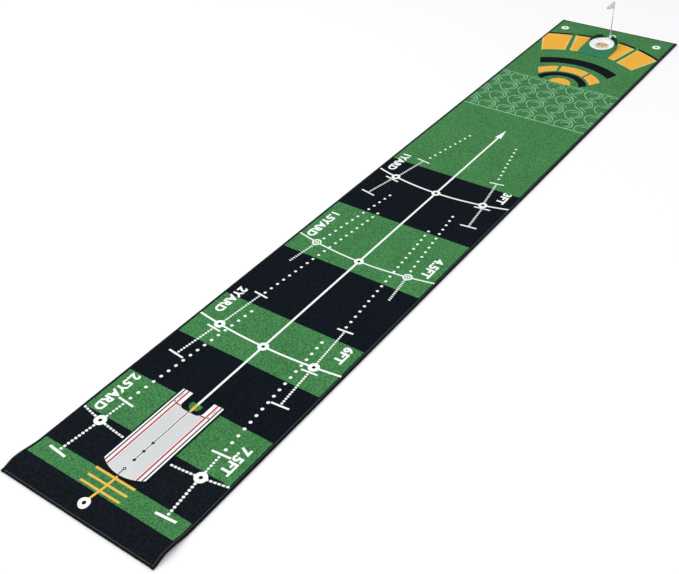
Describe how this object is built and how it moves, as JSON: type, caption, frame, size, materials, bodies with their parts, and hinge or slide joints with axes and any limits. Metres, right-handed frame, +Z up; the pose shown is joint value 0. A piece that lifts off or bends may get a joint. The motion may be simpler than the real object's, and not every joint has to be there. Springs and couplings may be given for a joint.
{
  "type": "practice putting mat",
  "caption": "Long flat putting mat with printed aiming lines, a loose alignment mirror near one end and a loose ramp cup with a small flag at the other.",
  "frame": {"origin": "on the floor, under the middle of the mat", "axes": "+Y along the mat towards the end with the cup, +Z up, +X across the mat to the right when looking towards the cup"},
  "size_m": [0.5, 3.03, 0.172],
  "materials": {
    "rubber": "matt, finely ribbed",
    "pile": "short printed velvet pile",
    "thread": "overlocked polyester thread",
    "mirror": "glossy acrylic with printed lines",
    "foam": "matt foam",
    "green_plastic": "fine moulded texture",
    "white_plastic": "smooth moulded",
    "disc": "printed film",
    "flag_cloth": "thin woven polyester"
  },
  "bodies": {
    "mat": {"rubber_backing": "rubber", "turf_pile": "pile", "edge_binding_left": "thread", "edge_binding_right": "thread", "edge_binding_near": "thread", "edge_binding_far": "thread"},
    "mirror": {"mirror_plate": "mirror", "mirror_backing": "foam"},
    "cup": {"cup_body": "green_plastic", "cup_liner": "white_plastic", "cup_disc": "disc"},
    "clip": {"flag_clip": "white_plastic"},
    "pole": {"flagpole_lower": "white_plastic"},
    "flag": {"flagpole_upper": "white_plastic", "flag_pennant": "flag_cloth"}
  },
  "joints": [
    {"name": "mirror_lift", "type": "slide", "parent": "mat", "child": "mirror", "axis": [0, 0, 1], "range_m": [0, 0.15]},
    {"name": "cup_lift", "type": "slide", "parent": "mat", "child": "cup", "axis": [0, 0, 1], "range_m": [0, 0.15]},
    {"name": "clip_lift", "type": "slide", "parent": "cup", "child": "clip", "axis": [0, 0, 1], "range_m": [0, 0.06]},
    {"name": "pole_pull", "type": "slide", "parent": "clip", "child": "pole", "axis": [0, 0, 1], "range_m": [0, 0.05]},
    {"name": "flag_turn", "type": "hinge", "parent": "pole", "child": "flag", "pos_m": [0.0045, 1.4125, 0.1075], "axis": [0, 0, 1], "continuous": true}
  ]
}
